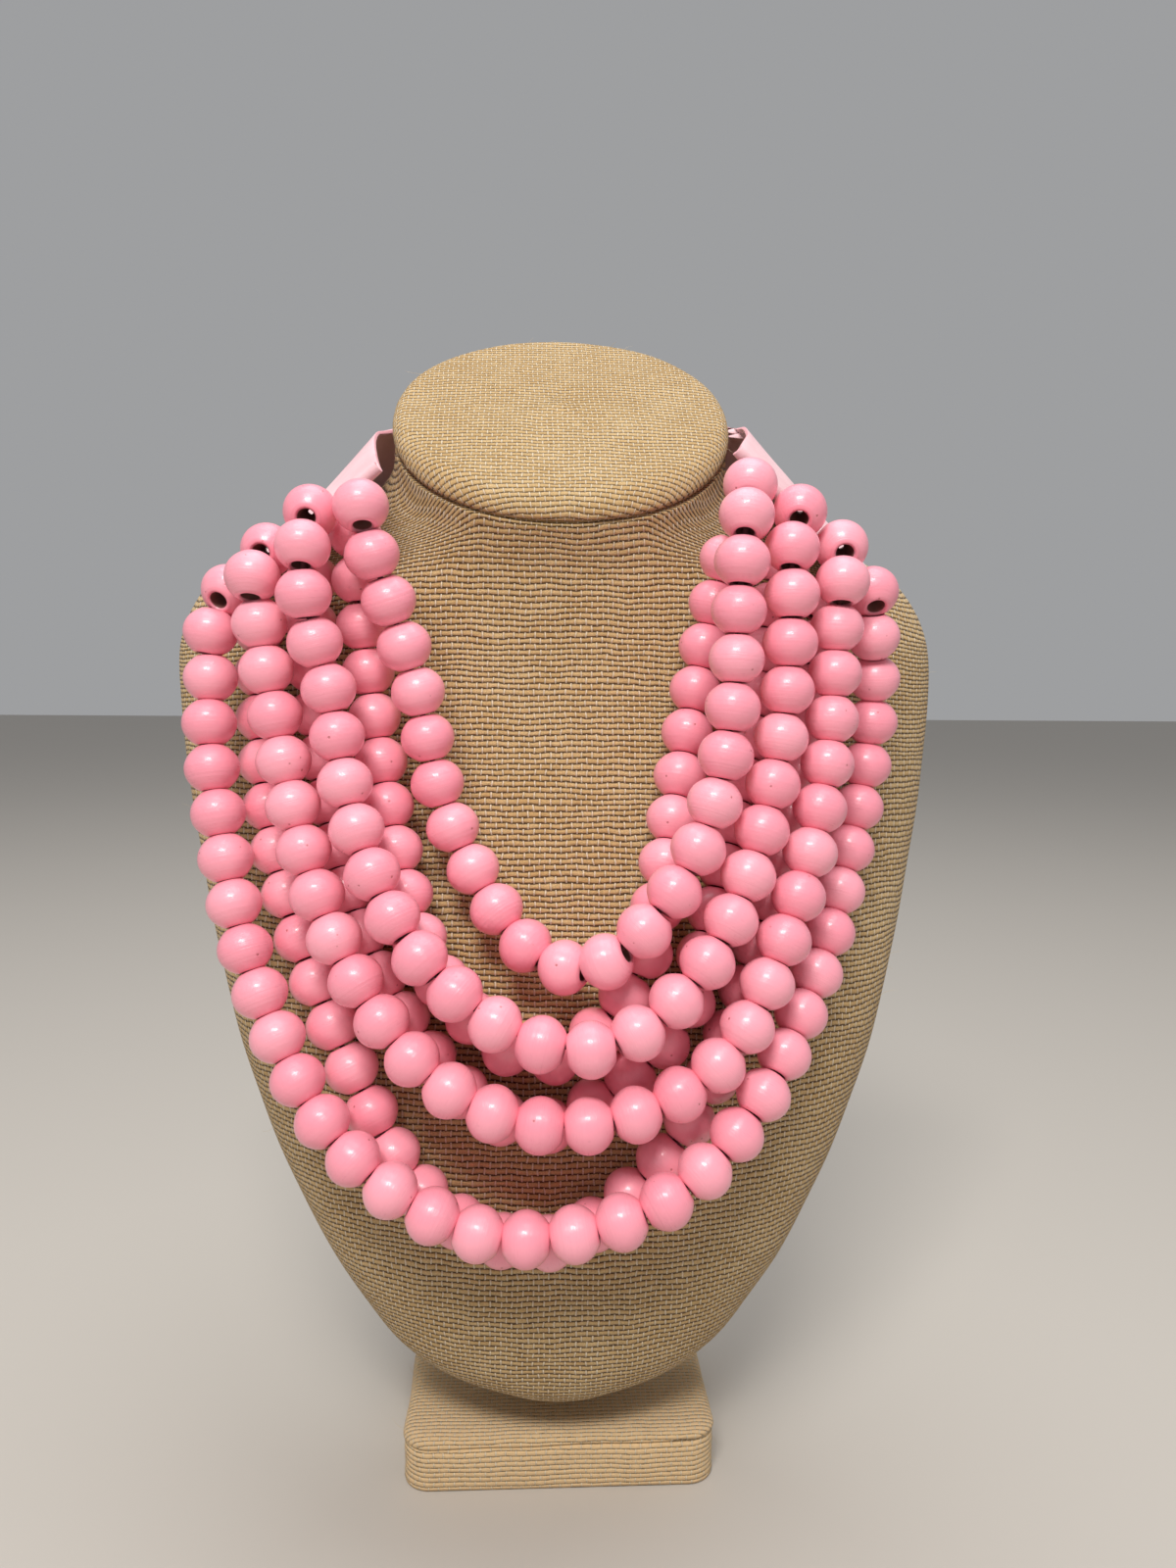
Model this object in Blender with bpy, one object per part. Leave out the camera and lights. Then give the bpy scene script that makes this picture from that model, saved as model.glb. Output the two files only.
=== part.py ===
# Seven-strand necklace of round wooden beads on two leather tabs, worn by a burlap neck bust.
# Metres, +Z up, the front faces -Y, and the origin is the middle of the base block's underside.

import bisect
import math

import bmesh
import bpy
from mathutils import Vector
from mathutils.bvhtree import BVHTree

# Clearances
pieceGap = 0.0003
beadGap = 0.0010
tabGap = 0.0015

# Base block and the post that carries the bust
baseWidth = 0.103
baseDepth = 0.080
baseHeight = 0.019
baseCorner = 0.008
baseEdge = 0.0025
postWidth = 0.034
postDepth = 0.024
postY = 0.001

# Bust
chestBottom = 0.034
neckMiddle = 0.346
bustWidth = 0.258
chestReach = 0.0635
backReach = 0.049
neckSlope = 0.86
bustSides = 28
capThickness = 0.0075
capRim = 0.0025
rimSteps = 3

# Beads and thread
beadDiameter = 0.0160
beadPitch = 0.0139
beadHole = 0.0048
beadSides = 10
beadFlat = 0.0021
threadDiameter = 0.0020
threadStub = 0.0015
routeSteps = 5
smoothing = 60
settling = 16
probeShares = (0.4, 0.7, 0.9, 0.99)
probeTurns = 12

# Leather tabs and the clasp behind the neck
leather = 0.0012
hemRoll = 0.0013
hemTurns = (-70, 0, 70, 130)
tabWidth = 0.061
tabDrop = 0.020
tabStand = 0.0036
tabPanels = 5
claspWidth = 0.016
claspHeight = 0.014
claspDepth = 0.004
claspEdge = 0.0008

bustRows = [
    {"up": 0.000, "wide": 0.250, "front": 0.72, "back": 0.30, "lean": 0.00, "square": 2.0},
    {"up": 0.018, "wide": 0.355, "front": 0.80, "back": 0.36, "lean": 0.00, "square": 2.1},
    {"up": 0.048, "wide": 0.440, "front": 0.87, "back": 0.42, "lean": 0.00, "square": 2.2},
    {"up": 0.087, "wide": 0.510, "front": 0.92, "back": 0.47, "lean": 0.00, "square": 2.2},
    {"up": 0.140, "wide": 0.590, "front": 0.965, "back": 0.53, "lean": 0.00, "square": 2.3},
    {"up": 0.205, "wide": 0.670, "front": 0.99, "back": 0.59, "lean": 0.00, "square": 2.3},
    {"up": 0.287, "wide": 0.755, "front": 0.99, "back": 0.66, "lean": 0.00, "square": 2.3},
    {"up": 0.386, "wide": 0.835, "front": 0.93, "back": 0.73, "lean": 0.00, "square": 2.3},
    {"up": 0.500, "wide": 0.905, "front": 0.79, "back": 0.81, "lean": 0.00, "square": 2.3},
    {"up": 0.616, "wide": 0.965, "front": 0.61, "back": 0.88, "lean": 0.00, "square": 2.25},
    {"up": 0.714, "wide": 1.000, "front": 0.47, "back": 0.93, "lean": 0.03, "square": 2.2},
    {"up": 0.780, "wide": 1.000, "front": 0.41, "back": 0.95, "lean": 0.10, "square": 2.2},
    {"up": 0.830, "wide": 0.950, "front": 0.39, "back": 0.96, "lean": 0.20, "square": 2.0},
    {"up": 0.862, "wide": 0.865, "front": 0.385, "back": 0.96, "lean": 0.31, "square": 1.9},
    {"up": 0.890, "wide": 0.700, "front": 0.39, "back": 0.96, "lean": 0.42, "square": 1.9},
    {"up": 0.918, "wide": 0.545, "front": 0.41, "back": 0.97, "lean": 0.55, "square": 2.0},
    {"up": 0.955, "wide": 0.452, "front": 0.44, "back": 0.98, "lean": 0.76, "square": 2.1},
    {"up": 1.000, "wide": 0.436, "front": 0.48, "back": 1.00, "lean": 1.00, "square": 2.1},
]

# Rows of a leather tab from its hem to the clasp.
# way: share of the turn round the neck, off: distance from the neck in tabStands
# rise and ahead: shares of tabDrop above neckMiddle and forward of the neck's outline
# skew: how much the width leans back, width: share of tabWidth
# splay: degrees by which the width leans outward from straight down
tabRows = [
    {"way": 0.00, "off": 1.80, "rise": -1.05, "ahead": 1.45, "skew": 0.30, "width": 0.98, "splay": 53},
    {"way": 0.10, "off": 1.60, "rise": -0.50, "ahead": 0.80, "skew": 0.15, "width": 0.97, "splay": 47},
    {"way": 0.20, "off": 1.40, "rise": -0.05, "ahead": 0.30, "skew": 0.05, "width": 0.92, "splay": 41},
    {"way": 0.37, "off": 1.10, "rise": 0.15, "ahead": 0.00, "skew": 0.00, "width": 0.72, "splay": 36},
    {"way": 0.56, "off": 0.90, "rise": 0.25, "ahead": 0.00, "skew": 0.00, "width": 0.48, "splay": 28},
    {"way": 0.78, "off": 0.75, "rise": 0.35, "ahead": 0.00, "skew": 0.00, "width": 0.32, "splay": 10},
    {"way": 1.00, "off": 0.75, "rise": 0.40, "ahead": 0.00, "skew": 0.00, "width": 0.28, "splay": 0},
]

# Where each tab's hem lies: the turn from the neck's side and the height over the rows
tabs = {
    "leather_tab_left": {"side": -1, "turn": math.radians(-24), "lift": 0.000},
    "leather_tab_right": {"side": 1, "turn": math.radians(-30), "lift": 0.004},
}

# The strands' routes over the bust, left tab to right tab, as seen from the front (x, z).
# hang: where each strand leaves the hem, as a share of its width from the neck outward
# slide: the share of its spare thread that shows before the first bead
strands = {
    "back_strand_3": {"beads": 33, "slide": 0.5, "hang": 0.90, "leave": math.radians(165), "route": [
        (-0.095, 0.282), (-0.094, 0.258), (-0.090, 0.222), (-0.079, 0.187), (-0.065, 0.155),
        (-0.046, 0.120), (-0.024, 0.103), (-0.002, 0.101), (0.017, 0.113), (0.037, 0.136),
        (0.052, 0.168), (0.064, 0.205), (0.075, 0.243), (0.079, 0.270), (0.081, 0.292)]},
    "back_strand_2": {"beads": 29, "slide": 0.5, "hang": 0.50, "leave": math.radians(165), "route": [
        (-0.077, 0.295), (-0.078, 0.270), (-0.073, 0.232), (-0.064, 0.198), (-0.049, 0.168),
        (-0.030, 0.145), (-0.008, 0.135), (0.013, 0.145), (0.034, 0.167), (0.045, 0.200),
        (0.055, 0.234), (0.061, 0.268), (0.066, 0.298)]},
    "back_strand_1": {"beads": 27, "slide": 0.5, "hang": 0.19, "leave": math.radians(165), "route": [
        (-0.063, 0.303), (-0.061, 0.277), (-0.056, 0.242), (-0.050, 0.212), (-0.040, 0.184),
        (-0.024, 0.164), (-0.009, 0.155), (0.006, 0.161), (0.021, 0.180), (0.029, 0.207),
        (0.036, 0.240), (0.041, 0.264), (0.047, 0.290), (0.051, 0.308)]},
    "front_strand_4": {"beads": 36, "slide": 0.5, "hang": 0.98, "leave": math.radians(75), "route": [
        (-0.104, 0.285), (-0.106, 0.264), (-0.105, 0.240), (-0.100, 0.213), (-0.094, 0.189),
        (-0.083, 0.163), (-0.068, 0.139), (-0.046, 0.121), (-0.022, 0.110), (0.003, 0.111),
        (0.028, 0.120), (0.047, 0.135), (0.063, 0.155), (0.078, 0.181), (0.088, 0.210),
        (0.095, 0.237), (0.097, 0.264), (0.094, 0.284)]},
    "front_strand_3": {"beads": 32, "slide": 0.5, "hang": 0.68, "leave": math.radians(75), "route": [
        (-0.090, 0.299), (-0.089, 0.278), (-0.085, 0.255), (-0.079, 0.228), (-0.070, 0.200),
        (-0.056, 0.175), (-0.038, 0.155), (-0.015, 0.143), (0.006, 0.142), (0.027, 0.147),
        (0.047, 0.161), (0.061, 0.187), (0.071, 0.213), (0.078, 0.243), (0.080, 0.270),
        (0.081, 0.293)]},
    "front_strand_2": {"beads": 28, "slide": 0.5, "hang": 0.37, "leave": math.radians(75), "route": [
        (-0.075, 0.304), (-0.074, 0.283), (-0.068, 0.260), (-0.063, 0.233), (-0.054, 0.208),
        (-0.040, 0.187), (-0.018, 0.169), (0.000, 0.164), (0.020, 0.168), (0.039, 0.186),
        (0.052, 0.210), (0.060, 0.237), (0.064, 0.263), (0.065, 0.289), (0.066, 0.308)]},
    "front_strand_1": {"beads": 24, "slide": 0.8, "hang": 0.02, "leave": math.radians(75), "route": [
        (-0.059, 0.310), (-0.051, 0.285), (-0.043, 0.259), (-0.038, 0.233), (-0.027, 0.208),
        (-0.012, 0.188), (0.001, 0.183), (0.013, 0.188), (0.027, 0.202), (0.038, 0.220),
        (0.045, 0.244), (0.048, 0.270), (0.049, 0.295), (0.052, 0.318)]},
}


def removeEverything():
    for old in list(bpy.data.objects):
        bpy.data.objects.remove(old, do_unlink=True)


def makeMaterial(name, colour, roughness):
    material = bpy.data.materials.new(name)
    material.use_nodes = True
    shader = material.node_tree.nodes["Principled BSDF"]
    shader.inputs["Base Color"].default_value = (*colour, 1.0)
    shader.inputs["Roughness"].default_value = roughness
    shader.inputs["Metallic"].default_value = 0.0
    return material


def addObject(name, bm, material):
    bmesh.ops.recalc_face_normals(bm, faces=bm.faces)
    mesh = bpy.data.meshes.new(name)
    bm.to_mesh(mesh)
    bm.free()
    mesh.materials.append(material)
    mesh.shade_smooth()
    mesh.set_sharp_from_angle(angle=math.radians(40))
    made = bpy.data.objects.new(name, mesh)
    bpy.context.collection.objects.link(made)
    return made


def loft(bm, rings):
    # Joins each ring of points to the next and closes both ends.
    loops = [[bm.verts.new(point) for point in ring] for ring in rings]
    count = len(loops[0])
    for lower, upper in zip(loops, loops[1:]):
        for i in range(count):
            j = (i + 1) % count
            bm.faces.new((lower[i], lower[j], upper[j], upper[i]))
    bm.faces.new(list(reversed(loops[0])))
    bm.faces.new(loops[-1])


def catmull(a, b, c, d, t):
    # Smooth value between b and c.
    return b + 0.5 * t * (c - a + t * (2 * a - 5 * b + 4 * c - d + t * (3 * (b - c) + d - a)))


def between(rows, position):
    # The row at a position counted in rows, smooth through its neighbours.
    index = min(int(position), len(rows) - 2)
    near = [rows[max(0, min(len(rows) - 1, index + k))] for k in (-1, 0, 1, 2)]
    return {key: catmull(*(row[key] for row in near), position - index) for key in rows[0]}


def bustRing(row, lift=0.0, inset=0.0):
    # One outline of the bust, raised by lift and drawn in by inset.
    front = chestReach * row["front"]
    back = backReach * row["back"]
    halfWidth = 0.5 * bustWidth * row["wide"] - inset
    halfDepth = 0.5 * (front + back) - inset
    height = chestBottom + (neckMiddle - chestBottom) * row["up"] + lift
    points = []
    for i in range(bustSides):
        angle = 2 * math.pi * i / bustSides
        c = math.cos(angle)
        s = math.sin(angle)
        x = halfWidth * math.copysign(abs(c) ** (2 / row["square"]), c)
        y = halfDepth * math.copysign(abs(s) ** (2 / row["square"]), s)
        points.append(Vector((x, 0.5 * (back - front) + y, height + neckSlope * row["lean"] * y)))
    return points


def makeTorso(material):
    bm = bmesh.new()
    loft(bm, [bustRing(row) for row in bustRows])
    return addObject("bust_torso", bm, material)


def makeCap(material):
    # A slanted disc that follows the neck's top, with a rounded upper rim.
    bm = bmesh.new()
    top = bustRows[-1]
    slant = math.hypot(1.0, neckSlope)
    rings = []
    for step in range(rimSteps + 1):
        turn = 0.5 * math.pi * step / rimSteps
        rise = (capThickness - capRim + capRim * math.sin(turn)) * slant
        rings.append(bustRing(top, pieceGap * slant + rise, capRim * (1 - math.cos(turn))))
    loft(bm, [bustRing(top, pieceGap * slant)] + rings)
    return addObject("neck_cap", bm, material)


def makeBase(material):
    bm = bmesh.new()
    bmesh.ops.create_cube(bm, size=1.0)
    bmesh.ops.scale(bm, vec=(baseWidth, baseDepth, baseHeight), verts=bm.verts)
    bmesh.ops.translate(bm, vec=(0.0, 0.0, 0.5 * baseHeight), verts=bm.verts)
    upright = [edge for edge in bm.edges if abs(edge.verts[0].co.z - edge.verts[1].co.z) > pieceGap]
    bmesh.ops.bevel(bm, geom=upright, offset=baseCorner, segments=4, profile=0.5, affect="EDGES")
    rim = [edge for edge in bm.edges if min(vert.co.z for vert in edge.verts) > baseHeight - pieceGap]
    bmesh.ops.bevel(bm, geom=rim, offset=baseEdge, segments=2, profile=0.5, affect="EDGES")
    return addObject("base_block", bm, material)


def makePost(material):
    bm = bmesh.new()
    bottom = baseHeight + pieceGap
    height = chestBottom - pieceGap - bottom
    bmesh.ops.create_cube(bm, size=1.0)
    bmesh.ops.scale(bm, vec=(postWidth, postDepth, height), verts=bm.verts)
    bmesh.ops.translate(bm, vec=(0.0, postY, bottom + 0.5 * height), verts=bm.verts)
    return addObject("stand_post", bm, material)


def pushClear(tree, point, clearance):
    # Moves a point out to the clearance from the bust, where it is nearer or inside.
    place, normal, _, _ = tree.find_nearest(point)
    outside = (point - place).dot(normal)
    return point if outside >= clearance else place + normal * clearance


def tabEdges(tab, position):
    # Both edges of a tab's section: the one next to the neck, and the outer one.
    row = between(tabRows, position)
    top = bustRows[-1]
    front = chestReach * top["front"]
    back = backReach * top["back"]
    stand = tabStand * row["off"]
    reachX = 0.5 * bustWidth * top["wide"] + stand
    reachY = 0.5 * (back + front) + stand
    endTurn = math.acos((0.5 * claspWidth + pieceGap) / reachX)
    turn = tab["turn"] + (endTurn - tab["turn"]) * row["way"]
    height = neckMiddle + tabDrop * row["rise"] + tab["lift"] * (1 - row["way"])
    depth = 0.5 * (back - front) + reachY * math.sin(turn) - tabDrop * row["ahead"]
    inner = Vector((tab["side"] * reachX * math.cos(turn), depth, height))
    splay = math.radians(row["splay"])
    back = math.sin(turn) * min(1.0, 4 * row["way"]) + row["skew"]
    level = Vector((tab["side"] * math.cos(turn), back, 0.0))
    lean = level * math.sin(splay) - Vector((0.0, 0.0, math.cos(splay)))
    return inner, inner + tabWidth * row["width"] * lean


def tabPoint(tree, tab, position, share):
    # A point of the tab's middle surface, clear of the bust.
    inner, outer = tabEdges(tab, position)
    return pushClear(tree, inner.lerp(outer, share), 0.5 * leather + tabGap)


def hemCurl(tree, tab, share):
    # The hem's turning centre at this share of its width, and its two directions.
    point = tabPoint(tree, tab, 0.0, share)
    along = (point - tabPoint(tree, tab, 0.5, share)).normalized()
    width = tabPoint(tree, tab, 0.0, 1.0) - tabPoint(tree, tab, 0.0, 0.0)
    outward = width.cross(along).normalized() * -tab["side"]
    return point + outward * hemRoll, along, outward


def hemThread(tree, tab, share, turn):
    # Where a strand's thread leaves the hem, turned about the curl's centre.
    centre, along, outward = hemCurl(tree, tab, share)
    away = outward * math.cos(turn) + along * math.sin(turn)
    return centre + away * (hemRoll + 0.5 * leather + 0.5 * threadDiameter + pieceGap)


def makeTab(name, tab, tree, material):
    # A leather sheet from the clasp to the hem, which rolls over onto its outer face.
    bm = bmesh.new()
    shares = [i / tabPanels for i in range(tabPanels + 1)]
    grid = []
    for turn in hemTurns:
        row = []
        for share in shares:
            centre, along, outward = hemCurl(tree, tab, share)
            angle = math.radians(turn)
            row.append(centre + hemRoll * (outward * math.cos(angle) + along * math.sin(angle)))
        grid.append(row)
    steps = 2 * (len(tabRows) - 1)
    for step in range(steps + 1):
        grid.append([tabPoint(tree, tab, 0.5 * step, share) for share in shares])
    verts = [[bm.verts.new(point) for point in row] for row in grid]
    for lower, upper in zip(verts, verts[1:]):
        for i in range(tabPanels):
            bm.faces.new((lower[i], lower[i + 1], upper[i + 1], upper[i]))
    made = addObject(name, bm, material)
    wall = made.modifiers.new("wall", "SOLIDIFY")
    wall.thickness = leather
    wall.offset = 0.0
    return made


def makeClasp(material):
    bm = bmesh.new()
    inner, outer = tabEdges(tabs["leather_tab_left"], len(tabRows) - 1)
    bmesh.ops.create_cube(bm, size=1.0)
    bmesh.ops.scale(bm, vec=(claspWidth, claspDepth, claspHeight), verts=bm.verts)
    bmesh.ops.bevel(bm, geom=list(bm.edges), offset=claspEdge, segments=1, profile=0.5, affect="EDGES")
    bmesh.ops.translate(bm, vec=(0.0, inner.y, 0.5 * (inner.z + outer.z)), verts=bm.verts)
    return addObject("back_clasp", bm, material)


def smoothRoute(points, step):
    # Points every step or so along a smooth curve through the route's own points.
    found = []
    for index in range(len(points) - 1):
        near = [points[max(0, min(len(points) - 1, index + k))] for k in (-1, 0, 1, 2)]
        count = max(1, round((near[2] - near[1]).length / step))
        for k in range(count):
            t = k / count
            found.append(Vector([catmull(*(p[axis] for p in near), t) for axis in (0, 1)]))
    return found + [points[-1]]


def restDepth(tree, x, z, below):
    # How far forward a bead at x, z lies when it touches the bust and the beads below it.
    radius = 0.5 * beadDiameter
    touch = beadDiameter + beadGap
    probes = [(0.0, 0.0)]
    probes += [(share, 2 * math.pi * k / probeTurns) for share in probeShares for k in range(probeTurns)]
    best = 0.0
    for share, turn in probes:
        dx = radius * share * math.cos(turn)
        dz = radius * share * math.sin(turn)
        place = tree.ray_cast(Vector((x + dx, -bustWidth, z + dz)), Vector((0.0, 1.0, 0.0)))[0]
        if place is not None:
            best = min(best, place.y - radius * math.sqrt(1 - share * share) - beadGap)
    for bead in below:
        apart = math.hypot(x - bead.x, z - bead.z)
        if apart < touch:
            best = min(best, bead.y - math.sqrt(touch * touch - apart * apart))
    return best


def strandPath(strand, tree, below):
    # The strand's curve from one hem to the other, resting on the bust and on the beads below it.
    first = hemThread(tree, tabs["leather_tab_left"], strand["hang"], strand["leave"])
    last = hemThread(tree, tabs["leather_tab_right"], strand["hang"], strand["leave"])
    middle = [Vector(point) for point in strand["route"]]
    route = [Vector((first.x, first.z))] + middle + [Vector((last.x, last.z))]
    flat = smoothRoute(route, beadPitch / routeSteps)
    rest = [restDepth(tree, point.x, point.y, below) for point in flat]
    rest[0] = first.y
    rest[-1] = last.y
    depth = list(rest)
    for _ in range(smoothing):
        for i in range(1, len(depth) - 1):
            depth[i] = min(rest[i], 0.5 * (depth[i - 1] + depth[i + 1]))
    return [Vector((point.x, y, point.y)) for point, y in zip(flat, depth)]


def placeBeads(path, count, slide):
    # Bead centres along the path at an even pitch, and that pitch.
    sums = [0.0]
    for a, b in zip(path, path[1:]):
        sums.append(sums[-1] + (b - a).length)
    room = sums[-1] - 2 * threadStub
    pitch = min(beadPitch, room / count)

    def at(distance):
        i = max(0, min(len(path) - 2, bisect.bisect_right(sums, distance) - 1))
        t = (distance - sums[i]) / (sums[i + 1] - sums[i])
        return path[i].lerp(path[i + 1], t)

    start = slide * (sums[-1] - count * pitch)
    ends = [at(start + pitch * i) for i in range(count + 1)]
    return [0.5 * (a + b) for a, b in zip(ends, ends[1:])], pitch


def settle(tree, path, centres, pitch, below):
    # Moves the beads until each keeps its pitch and rests on what is below, and returns their directions.
    for _ in range(settling):
        for a, b in zip(centres, centres[1:]):
            gap = b - a
            shift = 0.5 * (gap.length - pitch) / gap.length * gap
            a += shift
            b -= shift
        for centre in centres:
            centre.y = min(centre.y, restDepth(tree, centre.x, centre.z, below))
    middles = [0.5 * (a + b) for a, b in zip(centres, centres[1:])]
    first = centres[0] + 0.5 * pitch * (path[0] - centres[0]).normalized()
    last = centres[-1] + 0.5 * pitch * (path[-1] - centres[-1]).normalized()
    ends = [first] + middles + [last]
    return [(b - a).normalized() for a, b in zip(ends, ends[1:])]


def ringAt(centre, axis, side, radius, sides):
    # A round outline about the axis, starting from the direction side.
    other = axis.cross(side)
    turns = [2 * math.pi * k / sides for k in range(sides)]
    return [centre + radius * (side * math.cos(turn) + other * math.sin(turn)) for turn in turns]


def makeStrand(name, path, centres, axes, pitch, material):
    # Every bead of the strand and its thread, fused into one turned body.
    bm = bmesh.new()
    fat = 0.5 * beadDiameter / math.cos(math.pi / beadSides) ** 0.5
    hole = 0.5 * beadHole
    thread = 0.5 * threadDiameter
    stations = [(path[0], axes[0], thread)]
    stations.append((centres[0] - axes[0] * (0.5 * pitch + pieceGap), axes[0], thread))
    stations.append((centres[0] - axes[0] * 0.5 * pitch, axes[0], hole))
    for i, (centre, axis) in enumerate(zip(centres, axes)):
        stations.append((centre - axis * beadFlat, axis, fat))
        stations.append((centre + axis * beadFlat, axis, fat))
        if i + 1 < len(centres):
            stations.append((0.5 * (centre + centres[i + 1]), (axis + axes[i + 1]).normalized(), hole))
    stations.append((centres[-1] + axes[-1] * 0.5 * pitch, axes[-1], hole))
    stations.append((centres[-1] + axes[-1] * (0.5 * pitch + pieceGap), axes[-1], thread))
    stations.append((path[-1], axes[-1], thread))
    side = Vector((0.0, -1.0, 0.0))
    rings = []
    for centre, axis, radius in stations:
        side = (side - axis * side.dot(axis)).normalized()
        rings.append(ringAt(centre, axis, side, radius, beadSides))
    loft(bm, rings)
    return addObject(name, bm, material)


def makeStrands(tree, material):
    # The strands are laid from the bust outward, each on the ones already there.
    below = []
    for name, strand in strands.items():
        path = strandPath(strand, tree, below)
        centres, pitch = placeBeads(path, strand["beads"], strand["slide"])
        axes = settle(tree, path, centres, pitch, below)
        makeStrand(name, path, centres, axes, pitch, material)
        below += centres


removeEverything()
burlap = makeMaterial("burlap", (0.47, 0.33, 0.17), 0.95)
leatherPink = makeMaterial("pink leather", (0.86, 0.56, 0.60), 0.55)
beadPink = makeMaterial("pink paint", (0.98, 0.35, 0.44), 0.35)
torso = makeTorso(burlap)
makeCap(burlap)
makeBase(burlap)
makePost(burlap)
torsoTree = BVHTree.FromObject(torso, bpy.context.evaluated_depsgraph_get())
for tabName, tabPlace in tabs.items():
    makeTab(tabName, tabPlace, torsoTree, leatherPink)
makeClasp(leatherPink)
makeStrands(torsoTree, beadPink)
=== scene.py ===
import bisect
import math
import random

import bmesh
import bpy
from mathutils import Matrix, Vector, noise
from mathutils.bvhtree import BVHTree


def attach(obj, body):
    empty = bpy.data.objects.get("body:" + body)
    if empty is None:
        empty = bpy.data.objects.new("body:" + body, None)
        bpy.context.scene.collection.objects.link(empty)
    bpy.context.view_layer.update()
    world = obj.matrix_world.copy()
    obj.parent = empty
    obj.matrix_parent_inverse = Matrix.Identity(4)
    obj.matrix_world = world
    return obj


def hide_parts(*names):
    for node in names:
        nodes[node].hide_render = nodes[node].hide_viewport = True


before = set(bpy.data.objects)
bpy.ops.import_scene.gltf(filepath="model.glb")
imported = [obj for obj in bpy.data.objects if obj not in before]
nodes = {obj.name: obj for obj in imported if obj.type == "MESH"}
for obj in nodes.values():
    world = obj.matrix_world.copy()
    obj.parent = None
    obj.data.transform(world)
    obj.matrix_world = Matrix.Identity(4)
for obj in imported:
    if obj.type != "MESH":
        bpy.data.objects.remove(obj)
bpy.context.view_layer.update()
print("frame loaded:", ", ".join(sorted(nodes)))


# Shader helpers

class Wire:
    # One value in a shader tree, which can be added, multiplied and compared.
    def __init__(self, tree, socket):
        self.tree = tree
        self.socket = socket

    def calc(self, operation, *others):
        node = self.tree.nodes.new("ShaderNodeMath")
        node.operation = operation
        feed(self.tree, node.inputs[0], self)
        for index, other in enumerate(others):
            feed(self.tree, node.inputs[index + 1], other)
        return Wire(self.tree, node.outputs[0])

    def __add__(self, other):
        return self.calc("ADD", other)

    def __sub__(self, other):
        return self.calc("SUBTRACT", other)

    def __mul__(self, other):
        return self.calc("MULTIPLY", other)

    def __truediv__(self, other):
        return self.calc("DIVIDE", other)

    def size(self):
        return self.calc("ABSOLUTE")

    def atLeast(self, other):
        return self.calc("MAXIMUM", other)


def feed(tree, socket, value):
    if isinstance(value, Wire):
        tree.links.new(value.socket, socket)
    else:
        socket.default_value = value


def split(tree, vector):
    node = tree.nodes.new("ShaderNodeSeparateXYZ")
    feed(tree, node.inputs[0], vector)
    return [Wire(tree, output) for output in node.outputs]


def join(tree, x, y, z=0.0):
    node = tree.nodes.new("ShaderNodeCombineXYZ")
    for socket, value in zip(node.inputs, (x, y, z)):
        feed(tree, socket, value)
    return Wire(tree, node.outputs[0])


def grain(tree, vector, scale, detail=2.0, roughness=0.5):
    # Soft noise, as a value from 0 to 1 and as a colour.
    node = tree.nodes.new("ShaderNodeTexNoise")
    feed(tree, node.inputs["Vector"], vector)
    node.inputs["Scale"].default_value = scale
    node.inputs["Detail"].default_value = detail
    node.inputs["Roughness"].default_value = roughness
    return Wire(tree, node.outputs["Fac"]), Wire(tree, node.outputs["Color"])


def ramp(tree, value, low, high, start=0.0, end=1.0):
    # Goes smoothly from start to end while the value goes from low to high.
    node = tree.nodes.new("ShaderNodeMapRange")
    node.interpolation_type = "SMOOTHSTEP"
    for socket, given in zip(node.inputs, (value, low, high, start, end)):
        feed(tree, socket, given)
    return Wire(tree, node.outputs[0])


def blendColour(tree, share, first, second):
    node = tree.nodes.new("ShaderNodeMix")
    node.data_type = "RGBA"
    feed(tree, node.inputs["Factor"], share)
    for socket, colour in ((node.inputs["A"], first), (node.inputs["B"], second)):
        feed(tree, socket, colour if isinstance(colour, Wire) else (*colour, 1.0))
    return Wire(tree, node.outputs["Result"])


def newGroup(name, inputs, outputs):
    group = bpy.data.node_groups.new(name, "ShaderNodeTree")
    for label, kind, value in inputs:
        made = group.interface.new_socket(label, in_out="INPUT", socket_type="NodeSocket" + kind)
        if value is not None:
            made.default_value = value
    for label, kind in outputs:
        group.interface.new_socket(label, in_out="OUTPUT", socket_type="NodeSocket" + kind)
    source = group.nodes.new("NodeGroupInput")
    sink = group.nodes.new("NodeGroupOutput")
    return group, {s.name: Wire(group, s) for s in source.outputs if s.name}, sink


def useGroup(tree, group, values):
    node = tree.nodes.new("ShaderNodeGroup")
    node.node_tree = group
    for label, value in values.items():
        feed(tree, node.inputs[label], value)
    return {output.name: Wire(tree, output) for output in node.outputs}


def newMaterial(name, **settings):
    # A material with its Principled BSDF; the settings stand on the shader's own sockets.
    material = bpy.data.materials.new(name)
    material.use_nodes = True
    shader = material.node_tree.nodes["Principled BSDF"]
    for label, value in settings.items():
        shader.inputs[label.replace("_", " ")].default_value = value
    return material, material.node_tree, shader


def addBump(tree, shader, height, distance, strength=1.0):
    node = tree.nodes.new("ShaderNodeBump")
    node.inputs["Distance"].default_value = distance
    node.inputs["Strength"].default_value = strength
    feed(tree, node.inputs["Height"], height)
    tree.links.new(node.outputs["Normal"], shader.inputs["Normal"])


def objectPlace(tree):
    return Wire(tree, tree.nodes.new("ShaderNodeTexCoord").outputs["Object"])


def uvPlace(tree, name):
    node = tree.nodes.new("ShaderNodeUVMap")
    node.uv_map = name
    return Wire(tree, node.outputs["UV"])


def attribute(tree, name):
    node = tree.nodes.new("ShaderNodeAttribute")
    node.attribute_name = name
    return Wire(tree, node.outputs["Fac"])


# Jute burlap

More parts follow.
